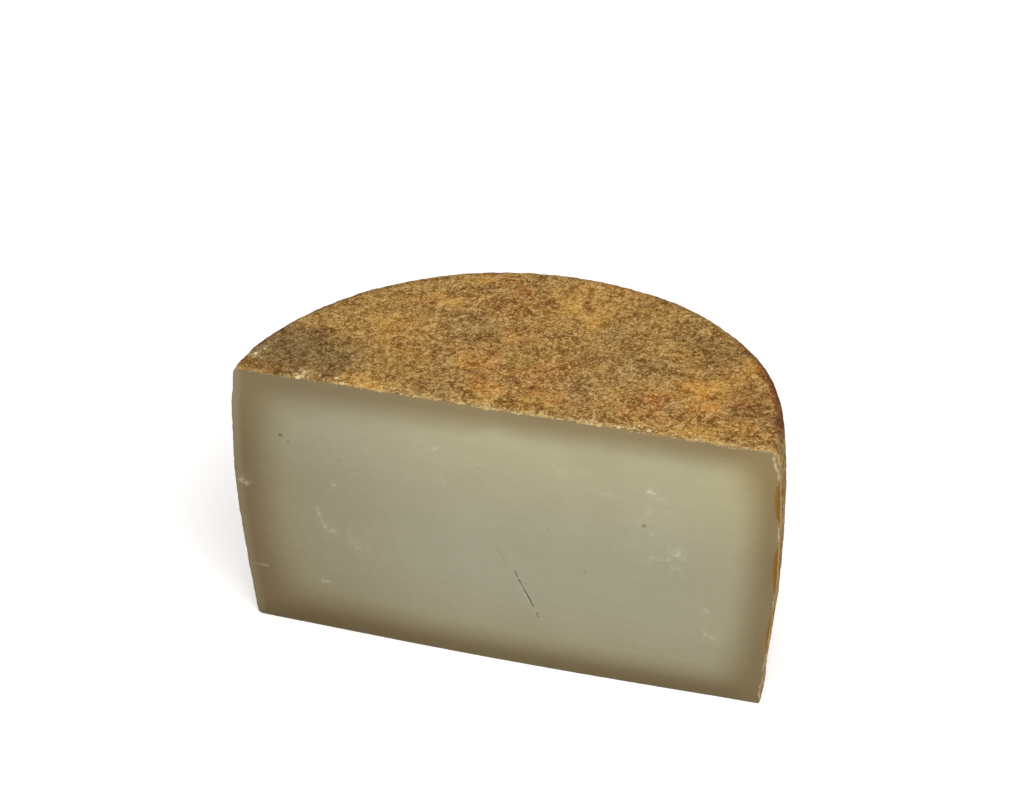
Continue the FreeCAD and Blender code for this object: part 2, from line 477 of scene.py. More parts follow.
def add_node(tree, kind, inputs=(), **settings):
    """Add a node, set its settings and fill its inputs.

    inputs pairs a socket's name or number with a plain value, a socket, or a node, which stands for
    its first live output.
    """
    node = tree.nodes.new(kind)
    for name, value in settings.items():
        setattr(node, name, value)
    for name, value in dict(inputs).items():
        socket = node.inputs[name]
        if isinstance(value, bpy.types.Node):
            value = next(output for output in value.outputs if output.enabled)
        if isinstance(value, bpy.types.NodeSocket):
            tree.links.new(value, socket)
        elif socket.type == "RGBA":
            socket.default_value = (*tuple(value)[:3], 1.0)
        else:
            socket.default_value = value
    return node


def new_material(name):
    """A material with an empty node tree, and the tree."""
    material = bpy.data.materials.new(name)
    material.use_nodes = True
    material.node_tree.nodes.clear()
    return material, material.node_tree


def paste_material(looks):
    """Pressed sheep's milk paste, cut with a wire: close, faintly waxy, with a dark ripening band.

    Drying from the rind inwards darkens the outer 10 to 20 mm; the wire leaves faint level streaks.
    """
    material, tree = new_material("pressed_paste_wire_cut")
    place = add_node(tree, "ShaderNodeTexCoord").outputs["Object"]
    field = {}
    for name in PASTE_FIELDS:
        field[name] = add_node(tree, "ShaderNodeAttribute", attribute_name=name).outputs["Fac"]
    level = add_node(tree, "ShaderNodeMapping", {"Vector": place, "Scale": LEVEL_STREAKS})
    noise = {}
    for name, where, size, detail in (
        ("streaks", level, 2.2, 3.0), ("curd", place, 3.0, 3.0), ("clouds", place, 22.0, 2.0),
        ("fine", place, 1.0, 2.0),
    ):
        inputs = {"Vector": where, "Scale": per_mm(size), "Detail": detail, "Roughness": 0.55}
        noise[name] = add_node(tree, "ShaderNodeTexNoise", inputs)

    # Each mask goes from the third number to the fourth as its noise goes from the first to the
    # second.
    mask = {}
    for name, source, *limits in (
        ("clouds", "clouds", 0.3, 0.7, 0.0, 0.14),
        ("streaks", "streaks", 0.3, 0.7, 0.10, 0.0),
        ("curd", "curd", 0.45, 0.8, 0.0, 0.07),
        ("flecks", "fine", 0.45, 0.65, 0.0, 0.6),
        ("gloss", "curd", 0.3, 0.7, 0.44, 0.58),
    ):
        mask[name] = add_node(tree, "ShaderNodeMapRange", enumerate([noise[source], *limits]))

    # Fine noise, times the first number, frays the edges of the rind, its oily stretches and the
    # mould beside it; each mask rises over the next two.
    for name, fray, low, high in (
        ("skin", 1.4, 1.1, 1.3), ("amber", 0.9, 0.8, 1.15), ("bloom", 1.2, 0.95, 1.35),
    ):
        frayed = add_node(
            tree, "ShaderNodeMath", {0: noise["fine"], 1: fray, 2: field[name]},
            operation="MULTIPLY_ADD",
        )
        mask[name] = add_node(tree, "ShaderNodeMapRange", enumerate([frayed, low, high, 0.0, 1.0]))
    crust = add_node(
        tree, "ShaderNodeMix", {0: mask["flecks"], 6: looks.skin, 7: looks.bloom}, data_type="RGBA",
    )
    colour = looks.heart
    for amount, tone, blend in (
        # These two coats are partly painted light and shade: paler at the top, darker to the left
        # and at the base.
        (field["bright"], looks.bright, "MIX"),
        (field["dusk"], looks.dusk, "MIX"),
        (mask["clouds"], looks.dusk, "MIX"),
        (mask["streaks"], looks.dusk, "MIX"),
        (mask["curd"], looks.smear, "MIX"),
        (field["cure"], looks.cure, "MULTIPLY"),
        (field["band"], looks.band, "MULTIPLY"),
        # Darker along the base: partly painted contact shadow.
        (field["foot"], looks.foot, "MULTIPLY"),
        # Pale smears, and painted highlight on lit lips.
        (field["smear"], looks.smear, "MIX"),
        # Painted shade in the slit, the eyes and the hairline.
        (field["hollow"], looks.slit, "MIX"),
        (mask["skin"], crust, "MIX"),
        (mask["amber"], looks.amber, "MIX"),
        (mask["bloom"], looks.bloom, "MIX"),
    ):
        coat = {0: amount, 6: colour, 7: tone}
        colour = add_node(tree, "ShaderNodeMix", coat, data_type="RGBA", blend_type=blend)
    height = add_node(
        tree, "ShaderNodeMath", {0: noise["streaks"], 1: noise["fine"]}, operation="ADD",
    )
    bump = add_node(
        tree, "ShaderNodeBump", {"Strength": 0.22, "Distance": 0.14 * MM, "Height": height},
    )
    surface = add_node(tree, "ShaderNodeBsdfPrincipled", {
        "Base Color": colour,
        "Roughness": mask["gloss"],
        "Normal": bump,
        "IOR": 1.45,
        "Specular IOR Level": 0.35,
        "Subsurface Weight": 0.12,
        "Subsurface Radius": (1.0, 0.8, 0.5),
        "Subsurface Scale": 3.0 * MM,
    })
    add_node(tree, "ShaderNodeOutputMaterial", {"Surface": surface})
    return material


def rind_material(looks):
    """Natural rind, salted, brushed and turned for months: dry, grainy and mottled.

    Grains up to three millimetres wide have dry sandy tips and dark hollows between them; slow
    moulds leave golden, russet and grey patches of a few centimetres.
    """
    material, tree = new_material("natural_rind_brushed")
    place = add_node(tree, "ShaderNodeTexCoord").outputs["Object"]
    field = {}
    for name in RIND_FIELDS:
        field[name] = add_node(tree, "ShaderNodeAttribute", attribute_name=name).outputs["Fac"]
    noise = {}
    for name, size, detail, roughness in (
        ("mottle", 8.0, 3.0, 0.6), ("grain", 2.1, 2.0, 0.65), ("dust", 0.9, 2.0, 0.7),
    ):
        inputs = {"Vector": place, "Scale": per_mm(size), "Detail": detail, "Roughness": roughness}
        noise[name] = add_node(tree, "ShaderNodeTexNoise", inputs)

    # The grain that is cut in the mesh and two finer ones share out light tips and dark hollows.
    height = 0.0
    for source, share in ((field["grain"], 0.20), (noise["grain"], 0.30), (noise["dust"], 0.50)):
        height = add_node(
            tree, "ShaderNodeMath", {0: source, 1: share, 2: height}, operation="MULTIPLY_ADD",
        )

    # Each grit of salt, mould or dust about a millimetre wide has a tone of its own.
    inputs = {"Vector": place, "Scale": per_mm(1.15)}
    grit = add_node(tree, "ShaderNodeTexVoronoi", inputs).outputs["Color"]

    # Each mask goes from the third number to the fourth as its source goes from the first to the
    # second.
    mask = {}
    for name, source, *limits in (
        ("patchy", noise["mottle"], 0.35, 0.55, 0.6, 1.0),
        ("blotch", noise["mottle"], 0.52, 0.38, 0.0, 0.9),
        ("hollow", height, 0.505, 0.42, 0.0, 0.85),
        ("pit", height, 0.455, 0.37, 0.0, 0.85),
        ("soot", grit, 0.45, 0.15, 0.0, 0.5),
        ("speck", grit, 0.60, 0.90, 0.0, 0.5),
        ("tip", height, 0.51, 0.61, 0.0, 0.75),
        ("crumbly", height, 0.38, 0.54, 0.15, 1.0),
        ("dry", noise["grain"], 0.3, 0.7, 0.65, 0.9),
    ):
        mask[name] = add_node(tree, "ShaderNodeMapRange", enumerate([source, *limits]))
    for name, where in (
        ("grey", "patchy"), ("golden", "patchy"), ("russet", "patchy"), ("amber", "patchy"),
        ("cream", "crumbly"),
    ):
        mask[name] = add_node(
            tree, "ShaderNodeMath", {0: field[name], 1: mask[where]}, operation="MULTIPLY",
        )
    colour = looks.ochre
    for amount, tone, blend in (
        (field["flank"], looks.flank, "MIX"),
        (mask["golden"], looks.golden, "MIX"),
        (mask["russet"], looks.russet, "MIX"),
        (mask["grey"], looks.grey, "MIX"),
        (mask["amber"], looks.amber, "MIX"),
        (mask["blotch"], looks.umber, "MULTIPLY"),
        (mask["hollow"], looks.umber, "MULTIPLY"),
        (mask["pit"], looks.umber, "MULTIPLY"),
        (mask["soot"], looks.umber, "MULTIPLY"),
        (mask["tip"], looks.sand, "MIX"),
        (mask["speck"], looks.sand, "MIX"),
        (field["rim"], looks.maroon, "MULTIPLY"),
        # Painted shadow on the top's left, and darker places on its right.
        (field["damp"], looks.damp, "MULTIPLY"),
        (mask["cream"], looks.cream, "MIX"),
    ):
        coat = {0: amount, 6: colour, 7: tone}
        colour = add_node(tree, "ShaderNodeMix", coat, data_type="RGBA", blend_type=blend)
    bump = add_node(
        tree, "ShaderNodeBump", {"Strength": 0.8, "Distance": 0.5 * MM, "Height": height},
    )
    surface = add_node(tree, "ShaderNodeBsdfPrincipled", {
        "Base Color": colour,
        "Roughness": mask["dry"],
        "Normal": bump,
        "IOR": 1.45,
        "Specular IOR Level": 0.15,
    })
    add_node(tree, "ShaderNodeOutputMaterial", {"Surface": surface})
    return material


def crumb_material(looks):
    """Crumbs of paste and rind broken off by the wire: dry, matt, each its own cream or ochre."""
    material, tree = new_material("dry_cheese_crumb")
    place = add_node(tree, "ShaderNodeTexCoord").outputs["Object"]
    tone = add_node(tree, "ShaderNodeAttribute", attribute_name="tone").outputs["Fac"]
    inputs = {"Vector": place, "Scale": per_mm(0.9), "Detail": 2.0, "Roughness": 0.6}
    grain = add_node(tree, "ShaderNodeTexNoise", inputs)
    dry = add_node(tree, "ShaderNodeMapRange", enumerate([grain, 0.35, 0.7, 0.0, 0.7]))
    colour = looks.ochre
    for amount, coat_tone in ((tone, looks.cream), (dry, looks.sand)):
        colour = add_node(
            tree, "ShaderNodeMix", {0: amount, 6: colour, 7: coat_tone}, data_type="RGBA",
        )
    inputs = {"Base Color": colour, "Roughness": 0.8, "Specular IOR Level": 0.2}
    surface = add_node(tree, "ShaderNodeBsdfPrincipled", inputs)
    add_node(tree, "ShaderNodeOutputMaterial", {"Surface": surface})
    return material


# ---------------------------------------------------------------- the cut face

# Marks of the knife, and lit lips of small steps painted as highlight: along X, height, half length
# and half width in mm, lean in degrees, strength.
KNIFE_MARKS_AND_LIT_LIPS = [
    (66.0, 97.0, 2.2, 1.0, -8, 1.00),
    (71.7, 95.1, 1.9, 1.0, -10, 1.00),
    (68.5, 94.6, 4.5, 1.6, -12, 0.35),
    (57.0, 95.1, 1.8, 0.9, 10, 0.35),
    (65.9, 91.2, 1.2, 0.8, 60, 0.35),
    (66.2, 87.5, 1.7, 0.8, 80, 0.70),
    (61.5, 81.0, 1.5, 1.0, 20, 0.25),
    (67.8, 76.8, 1.1, 0.9, 30, 0.65),
    (74.2, 70.9, 0.9, 1.2, 80, 0.50),
    (78.0, 68.0, 3.6, 1.5, -12, 1.00),
    (73.7, 65.3, 2.0, 0.7, 0, 0.75),
    (67.3, 64.4, 1.4, 0.9, 10, 0.70),
    (70.6, 64.5, 3.0, 0.5, 5, 0.35),
    (65.2, 61.9, 1.3, 0.7, 15, 0.35),
    (75.0, 61.4, 1.2, 0.8, -40, 0.35),
    (78.4, 61.4, 1.0, 1.0, 60, 0.45),
    (91.0, 43.0, 1.0, 1.2, 60, 0.50),
    (91.5, 30.0, 3.8, 1.6, -50, 0.40),
    (-26.5, 101.3, 1.6, 0.9, 30, 0.60),
    (-24.8, 85.6, 1.8, 1.2, 0, 0.40),
    (-79.4, 24.0, 2.0, 0.8, 10, 0.65),
    (-115.3, 69.0, 2.2, 1.3, -35, 0.90),
    (-109.3, 26.5, 2.6, 0.4, 0, 0.60),
    (-73.0, 74.6, 1.8, 0.7, -30, 0.35),
    # These six paint the lit lips of small steps in the paste: painted highlight.
    (-81.1, 59.5, 3.2, 1.4, -69, 0.35),
    (-78.5, 53.4, 3.2, 1.4, -64, 0.40),
    (-75.0, 50.2, 2.4, 1.2, -10, 0.45),
    (-67.0, 48.2, 2.8, 1.3, -74, 0.40),
    (-64.2, 44.8, 2.4, 1.2, -18, 0.45),
    (-59.5, 44.0, 2.6, 1.0, -2, 0.25),
    # Painted highlight on the slit's lit left lip.
    (11.4, 36.3, 10.0, 0.5, -65, 0.30),
    (30.0, 100.0, 9.0, 1.8, 4, 0.20),
    (48.0, 93.0, 8.0, 1.8, -6, 0.20),
]

# Slit: its middle along X and its height in mm, and its lean in degrees. Then how far it bends.
SLIT = (12.2, 36.6, -65.0)
SLIT_BEND = 0.2 * MM
# Hairline that runs on from the slit's upper end, where the paste has not opened, painted as a
# faint line of shade, and its width.
HAIRLINE = (1.4, 53.6, -59.0)
HAIR_WIDTH = 0.40 * MM

# Eyes met by the cut: along X, height and radius in mm, and how dark their painted shade is.
EYES = [
    (-96.2, 95.6, 0.8, 0.60),
    (-92.7, 93.0, 0.5, 0.40),
    (63.3, 80.0, 0.8, 0.50),
    (-70.0, 88.0, 0.35, 0.35),
    (22.0, 70.0, 0.35, 0.35),
    (-8.0, 95.0, 0.35, 0.35),
    (38.0, 52.0, 0.40, 0.35),
]

# The rind's edge on the right of the cut: height, half height and width in mm of its amber
# stretches, and height and half height in mm of the stretches where pale mould shows.
AMBER_EDGE = [(102, 8.5, 4.4), (69.5, 11, 3.6), (39, 9, 2.0)]
PALE_EDGE = [(88, 6), (53, 5), (22, 6), (6, 7)]

# The crack between rind and paste at the right shoulder: how far in from the side it starts, what
# each millimetre downwards takes off that, and the width of the mould in it.
CRACK_START = 2.5 * MM
CRACK_SLOPE = 0.22
CRACK_MOULD = 1.2 * MM

PASTE_FIELDS = (
    "bright", "dusk", "cure", "band", "foot", "smear", "hollow", "skin", "amber", "bloom",
)

# How far the paste's hidden skin lies under the wheel's surface, inside the rind.
PASTE_INSET = 1.0 * MM
# How far the cut face stops short of the wheel's surface.
FACE_INSET = 0.12 * MM
# How far in, in mm, the ripening band reaches where nothing widens or narrows it.
BAND_REACH = 21

# Relief of the cut: the wire's wandering, its level ridges, the curd's grain and what the knife
# drags up. It fades over the last millimetres before the rind.
WANDER = 0.30 * MM
RIDGES = 0.05 * MM
CURD = 0.06 * MM
DRAGS = 0.12 * MM
RELIEF_FADE = 7 * MM

# Grid points nearer than this to the slit or to the middle of an eye crowd towards it.
SLIT_CROWD = 5 * MM
EYE_CROWD = 4 * MM


def turned(x, z, middle_x, middle_z, lean):
    """Coordinates along and across a line through a middle point, leaning by `lean` degrees."""
    angle = math.radians(lean)
    dx, dz = x - middle_x * MM, z - middle_z * MM
    along = dx * math.cos(angle) + dz * math.sin(angle)
    across = -dx * math.sin(angle) + dz * math.cos(angle)
    return along, across


def crowd(distance, reach, power):
    """Distances below `reach` drawn in as reach (d / reach)^power, so that points crowd at zero."""
    share = np.clip(np.abs(distance) / reach, 1e-9, 1)
    return np.sign(distance) * reach * share ** power


def crowd_to_slit(x, z, length):
    """Move grid points towards the slit's line, fading with distance, so that its lips are fine."""
    angle = math.radians(SLIT[2])
    along, across = turned(x, z, *SLIT)
    near = np.abs(across) < SLIT_CROWD
    fade = 1 - smoothstep(0.5 * length, 0.75 * length, np.abs(along))
    shift = np.where(near, (crowd(across, SLIT_CROWD, 1.9) - across) * fade, 0)
    return x - shift * math.sin(angle), z + shift * math.cos(angle)


def crowd_to_eye(x, z, eye):
    """Move grid points towards an eye's middle, so that its wall is round."""
    dx, dz = x - eye[0] * MM, z - eye[1] * MM
    distance = np.maximum(np.hypot(dx, dz), 1e-9)
    factor = np.where(distance < EYE_CROWD, crowd(distance, EYE_CROWD, 1.6) / distance, 1)
    return eye[0] * MM + dx * factor, eye[1] * MM + dz * factor


def ruled_patch(bottom, top, left, right):
    """A surface filled in between four curves: the sum of both ruled fills less the corners' fill.

    bottom and top run left to right, left and right run upwards; the result is indexed from the
    left and then from the bottom.
    """
    a = np.linspace(0, 1, len(bottom))[:, None, None]
    b = np.linspace(0, 1, len(left))[None, :, None]
    ruled = (1 - b) * bottom[:, None] + b * top[:, None] + (1 - a) * left[None] + a * right[None]
    low_corners = (1 - a) * bottom[0] + a * bottom[-1]
    high_corners = (1 - a) * top[0] + a * top[-1]
    return ruled - ((1 - b) * low_corners + b * high_corners)


def cut_outline(sizes, way_x, around):
    """Points of the cut's outline in x and z, just inside the wheel's skin."""
    points, _, normals = wheel_skin(sizes, way_x, 0.0, around)
    return (points - normals * FACE_INSET)[:, [0, 2]]


def on_cut(x, z):
    """Points of the cut plane, for the noise to read."""
    return np.column_stack([x, np.zeros_like(x), z])


def walls_near(sizes, x, z):
    """Distances in from the side, the top and the base at each point of the cut."""
    side = side_radius(sizes, z) + out_of_true(sizes, np.sign(x), z) - np.abs(x)
    return side, sizes.height - z, z


def open_slit(x, z, looks):
    """Depth of the slit, and the painted shade in it and along the hairline beyond it.

    The slit is a slightly bent lens. Half its width is w / 2 (1 - (2 along / length)^2)^0.4, made
    uneven by noise, and its depth falls as 1 - (across / half width)^2.
    """
    along, across = turned(x, z, *SLIT)
    bend = SLIT_BEND * np.sin(along / looks.slit_length * 5)
    half = looks.slit_width / 2 * np.clip(1 - (2 * along / looks.slit_length) ** 2, 0, 1) ** 0.4
    half = half * np.clip(0.8 + 0.8 * smooth_noise(on_cut(x, z), 2.0 * MM, 73), 0.2, 1.2)
    inside = np.clip(1 - ((across - bend) / np.maximum(half, 1e-7)) ** 2, 0, 1) * (half > 0)

    along, across = turned(x, z, *HAIRLINE)
    hair = hump(across, HAIR_WIDTH) * (1 - smoothstep(3 * MM, 9 * MM, np.abs(along)))
    dark = np.maximum(0.75 * smoothstep(0.05, 0.6, inside), 0.18 * hair)
    return looks.slit_depth * inside, dark


def open_eyes(x, z):
    """Depth of the eyes, each part of a ball, and the painted shade in them."""
    depth, dark = np.zeros_like(x), np.zeros_like(x)
    for eye_x, eye_z, radius, strength in EYES:
        away = np.hypot(x - eye_x * MM, z - eye_z * MM) / (radius * MM)
        depth = np.maximum(depth, radius * MM * np.sqrt(np.clip(1 - away ** 2, 0, 1)))
        dark = np.maximum(dark, strength * (1 - smoothstep(0.6, 1.2, away)))
    return depth, dark


def smear_and_lit_lips(x, z):
    """Where the knife dragged the paste, and painted highlight on lit lips: marks that noise breaks
    up.

    Along its line a mark fades as e^-(d / length)^2, slowly above the line and sharply below it;
    the slow side paints light on a lip.
    """
    breakup = layered_noise(on_cut(x, z), 2.4 * MM, 67, layers=3, gain=0.8)
    smear = np.zeros_like(x)
    for mark_x, mark_z, length, width, lean, strength in KNIFE_MARKS_AND_LIT_LIPS:
        along, across = turned(x, z, mark_x, mark_z, lean)
        above = across / (1.3 * width * MM)
        below = (across / (0.5 * width * MM)) ** 2
        spot = np.exp(-((along / (length * MM)) ** 2) - np.where(across > 0, above, below))
        smear = np.maximum(smear, strength * spot)
    return np.clip(smear * (0.15 + 1.1 * smoothstep(-0.2, 0.35, breakup)), 0, 1)


def cut_relief(sizes, x, z, looks):
    """Depth of the cut face behind the cut plane, the mask of its smears and lit lips, and the
    painted shade in its slit and eyes.

    The wire wanders by a fraction of a millimetre and drags the paste into level ridges.
    """
    flat = on_cut(x, z)
    wander = WANDER * (1 + layered_noise(flat, 55 * MM, 61, layers=2))
    ridges = RIDGES * layered_noise(flat * LEVEL_STREAKS, 2.4 * MM, 63, layers=2)
    curd = CURD * layered_noise(flat, 6 * MM, 65, layers=3)
    inner = smoothstep(0, RELIEF_FADE, np.minimum.reduce(walls_near(sizes, x, z)))
    slit, slit_dark = open_slit(x, z, looks)
    eyes, eyes_dark = open_eyes(x, z)
    smear = smear_and_lit_lips(x, z)
    depth = (wander + ridges + curd) * inner + slit + eyes - DRAGS * smear * inner
    return depth - cut_bow(sizes, x, z), smear, np.maximum(slit_dark, eyes_dark)


def tone_and_light_masks(sizes, x, z):
    """Where the paste is paler towards the top and darker towards the left and the base, from
    smooth steps: partly its own tone, partly painted light and shade.
    """
    share_x, share_z = x / sizes.belly_radius, z / sizes.height
    bright = smoothstep(0.45, 0.9, share_z) * smoothstep(-1.0, 0.0, share_x)
    left = smoothstep(-0.05, -0.95, share_x) * (1 - 0.85 * smoothstep(0.55, 0.95, share_z))
    low = 0.30 * smoothstep(0.45, 0.0, share_z)
    return 0.9 * bright, np.clip(0.85 * left + low, 0, 1)


def band_masks(sizes, x, z):
    """How far the paste is cured, how dark the ripening band is, and how dark the foot is.

    The depth under the rind is the soft minimum -ln(sum of e^(-k d)) / k of the distances to side,
    top and base, so that the band's inner edge is round in the corners. The last millimetres under
    the left side have stayed moist and are paler and greyer again. The foot's darkening along the
    base is partly the paste's own colour and partly painted contact shadow; it is paler at its
    right end.
    """
    side, top, base = walls_near(sizes, x, z)
    k = 1 / (6 * MM)
    soft = -np.log(np.sum(np.exp(-k * np.maximum([side, top, base], 0)), axis=0)) / k
    depth = soft * (1 + 0.12 * layered_noise(on_cut(x, z), 38 * MM, 71, layers=2))
    leftward = smoothstep(40 * MM, -100 * MM, x)
    upward = smoothstep(8 * MM, -8 * MM, top - side) * smoothstep(20 * MM, 90 * MM, z)
    downward = smoothstep(10 * MM, -10 * MM, base - side)
    thinner = smoothstep(40 * MM, 100 * MM, x) * smoothstep(50 * MM, 85 * MM, z)
    reach = (BAND_REACH + 5 * leftward - 4 * upward - 3.5 * downward - 1.5 * thinner) * MM
    band = 1 - smoothstep(0.14 * reach, reach, depth)
    moist = (1 - smoothstep(1.5 * MM, 5.0 * MM, side)) * (x < 0)
    cure = (1 - smoothstep(8 * MM, 48 * MM, np.minimum(side, 1.3 * base))) * (1 - moist)
    # Darker along the base: partly the paste's own colour, partly painted contact shadow.
    foot = (1 - smoothstep(1 * MM, 11 * MM, base)) * (1 - 0.7 * smoothstep(98 * MM, 112 * MM, x))
    return cure, np.clip(band - 0.32 * moist, 0, 1), foot


def rind_edge(sizes, x, z):
    """The rind's edge where it meets the cut: its skin, its amber stretches and the pale mould.

    Each is 1 at the rind and falls to 0, and the material frays it. Along the top the skin is a
    ragged line; round the right shoulder a crack has opened between rind and paste.
    """
    side, top, _ = walls_near(sizes, x, z)
    ragged = layered_noise(on_cut(x, z), 5 * MM, 75, layers=2)
    rightward = smoothstep(20 * MM, 100 * MM, x)
    line = (0.7 + 1.2 * rightward + 1.8 * ragged) * MM
    skin = 1 - top / np.maximum(line, 0.3 * MM)
    amber = np.zeros_like(x)
    on_right = x > 0
    for height, half, width in AMBER_EDGE:
        bulge = width * MM * hump(z - height * MM, half * MM, 4)
        amber = np.maximum(amber, on_right * (1 - side / np.maximum(bulge, 0.2 * MM)))

    crack = (CRACK_START - CRACK_SLOPE * (top - 1.5 * MM)) * on_right
    skin = np.maximum(skin, smoothstep(0, 1 * MM, crack - side))
    bloom = 0.60 * hump(side - crack, CRACK_MOULD) * (1 + 0.35 * ragged) * on_right
    bloom *= smoothstep(0.5 * MM, 2.5 * MM, top) * smoothstep(16 * MM, 12 * MM, top)
    for height, half in PALE_EDGE:
        stretch = hump(z - height * MM, half * MM, 4)
        bloom = np.maximum(bloom, 0.7 * on_right * stretch * (1 - side / (1.5 * MM)))
    return np.clip([skin, amber, bloom], 0, 1)


def make_paste(sizes, looks):
    """The paste: a fine grid over the cut, and the half turn of its outline behind the rind."""
    columns, rows, turns = 388, 204, 24
    half = columns // 2
    across = np.linspace(-1, 1, columns + 1)
    level = np.linspace(0, 1, rows + 1)
    face = ruled_patch(
        cut_outline(sizes, np.sign(across), 3 - np.abs(across)),
        cut_outline(sizes, np.sign(across), np.abs(across)),
        cut_outline(sizes, -1.0, 2 - level),
        cut_outline(sizes, 1.0, 2 - level),
    )
    x, z = face[..., 0].ravel(), face[..., 1].ravel()
    x, z = crowd_to_slit(x, z, looks.slit_length)
    for eye in EYES:
        x, z = crowd_to_eye(x, z, eye)
    depth, smear, hollow = cut_relief(sizes, x, z, looks)
    bright, dusk = tone_and_light_masks(sizes, x, z)
    cure, band, foot = band_masks(sizes, x, z)
    skin, amber, bloom = rind_edge(sizes, x, z)
    front = np.column_stack([x, depth, z])
    grid = np.arange(len(front)).reshape(columns + 1, rows + 1)

    # The hidden skin turns from the right half of the face's edge round to the left half.
    right = np.concatenate([grid[half:, 0], grid[-1, 1:], grid[-2:half - 1:-1, -1]])
    left = np.concatenate([grid[half::-1, 0], grid[0, 1:], grid[1:half + 1, -1]])
    around = np.concatenate([3 - across[half:], 2 - level[1:], across[-2:half - 1:-1]])
    angle = math.pi * np.linspace(0, 1, turns + 1)[None, 1:-1]
    hidden, _, _ = wheel_skin(sizes, np.cos(angle), np.sin(angle), around[:, None], PASTE_INSET)
    index = len(front) + np.arange(len(hidden)).reshape(len(around), turns - 1)
    index = np.column_stack([right, index, left])
    index[0], index[-1] = right[0], right[-1]
    triangles = np.concatenate([grid_triangles(grid), grid_triangles(index.T)])
    used, triangles = np.unique(triangles, return_inverse=True)
    triangles = triangles.reshape(-1, 3)
    points = np.concatenate([front, hidden])[used]
    masks = (bright, dusk, cure, band, foot, smear, hollow, skin, amber, bloom)
    plain = np.zeros(len(hidden))
    attributes = {
        name: np.concatenate([values, plain])[used] for name, values in zip(PASTE_FIELDS, masks)
    }
    return add_mesh("paste", in_frame(points), triangles, paste_material(looks), attributes)


# ---------------------------------------------------------------- the rind

# Patches on the top: along X, distance behind the cut and radius in mm, strength.
TOP_PATCHES = {
    "golden": [
        (76, 38, 12, 1.0), (86, 28, 9, 0.8), (100, 19, 7, 0.5), (85, 8, 9, 0.4), (38, 26, 6, 0.3),
        (62, 66, 9, 0.5), (97, 60, 6, 0.5), (10, 90, 14, 0.5), (-60, 50, 12, 0.4),
    ],
    "russet": [
        (61, 25, 5.5, 1.0), (67, 27, 4.5, 0.9), (54, 15, 8, 0.45), (64, 14, 7, 0.5),
        (79, 17, 4, 0.4), (95, 32, 9, 0.5), (106, 46, 5, 0.8), (84, 56, 9, 0.4),
        (98, 58, 5, 0.5), (-20, 80, 9, 0.5),
    ],
    "grey": [
        (49, 46, 17, 1.0), (60, 74, 12, 0.6), (109, 18, 6, 0.7), (30, 24, 14, 0.9),
        (-100, 22, 16, 1.0), (-76, 20, 14, 1.0), (-30, 60, 18, 0.6),
    ],
    "amber": [
        (-92, 3, 7, 1.0), (-107, 4, 4, 0.5), (52, 5, 5, 0.6), (77, 56, 8, 0.5),
        (70, 80, 14, 0.5), (20, 60, 10, 0.5), (104, 12, 6, 0.4),
    ],
    "cream": [(-111, 14, 3, 0.4), (-109, 19, 3, 0.3), (-85, 5, 3, 0.45)],
}
# Patches on the side beside the cut's right end: height and radius in mm, strength.
SIDE_PATCHES = {
    "grey": [(116, 9, 1.0), (87, 6, 1.0), (53, 5, 0.9), (20, 8, 0.8)],
    "amber": [(104, 7, 0.6), (69, 9, 0.5), (39, 7, 0.6), (6, 6, 0.5)],
}
# Dusty, paler stretches of that side: height and half height in mm, strength.
PALE_SIDE = [(118, 9, 0.6), (88, 9, 0.6), (58, 13, 0.6), (28, 14, 0.8), (6, 9, 0.8)]
# Where the broken edge along the cut is palest: along X and spread in mm, strength. Elsewhere the
# strength is DULL_LIP.
PALE_LIPS = [
    (-107, 6, 0.9), (-87, 3, 1.0), (-66, 2.5, 1.0), (30, 32, 0.7), (60, 5, 1.0), (99, 13, 0.9),
]
DULL_LIP = 0.45
# Darker places on the top: along X, distance behind the cut and radius in mm, strength. The two
# on the left are painted shadow of a wedge that lay there; the two on the right are darker rind.
SHADOW_AND_DARK = [(-100, 18, 24, 0.9), (-82, 16, 16, 0.8), (74, 66, 16, 0.45), (100, 32, 14, 0.6)]

RIND_FIELDS = ("flank", "golden", "russet", "grey", "amber", "rim", "damp", "cream", "grain")

# The top piece's edge laps over the side piece by this much, and each dives under the other.
LAP = 4.0 * MM
DIVE = 0.6 * MM

# How far behind the cut face the rind's outer and inner sheets start.
OUTER_FLUSH = 0.20 * MM
INNER_FLUSH = 0.30 * MM


def patches(sizes, points, name, seed, strength):
    """Soft patches: listed spots on the top and beside the cut, and clipped noise elsewhere.

    A spot fades as e^-(d u)^2, for a distance d in its radii and a noise u about 1. On the side it
    is stretched three times as far back as up.
    """
    uneven = 1 + 0.45 * layered_noise(points, 9 * MM, seed + 7, layers=3)
    found = strength * smoothstep(0.08, 0.42, layered_noise(points, 30 * MM, seed, layers=3))
    x, y, z = points.T / MM
    on_top = smoothstep(sizes.height / MM - 8, sizes.height / MM - 2, z)
    for middle_x, middle_y, radius, power in TOP_PATCHES[name]:
        away = np.hypot(x - middle_x, y - middle_y) / radius
        found = np.maximum(found, on_top * power * hump(away * uneven, 1))
    on_side = (1 - on_top) * smoothstep(60, 30, y) * (x > 0)
    for middle_z, radius, power in SIDE_PATCHES.get(name, ()):
        away = np.hypot((y - 6) / 3, z - middle_z) / radius
        found = np.maximum(found, on_side * power * hump(away * uneven, 1))
    return np.clip(found, 0, 1)


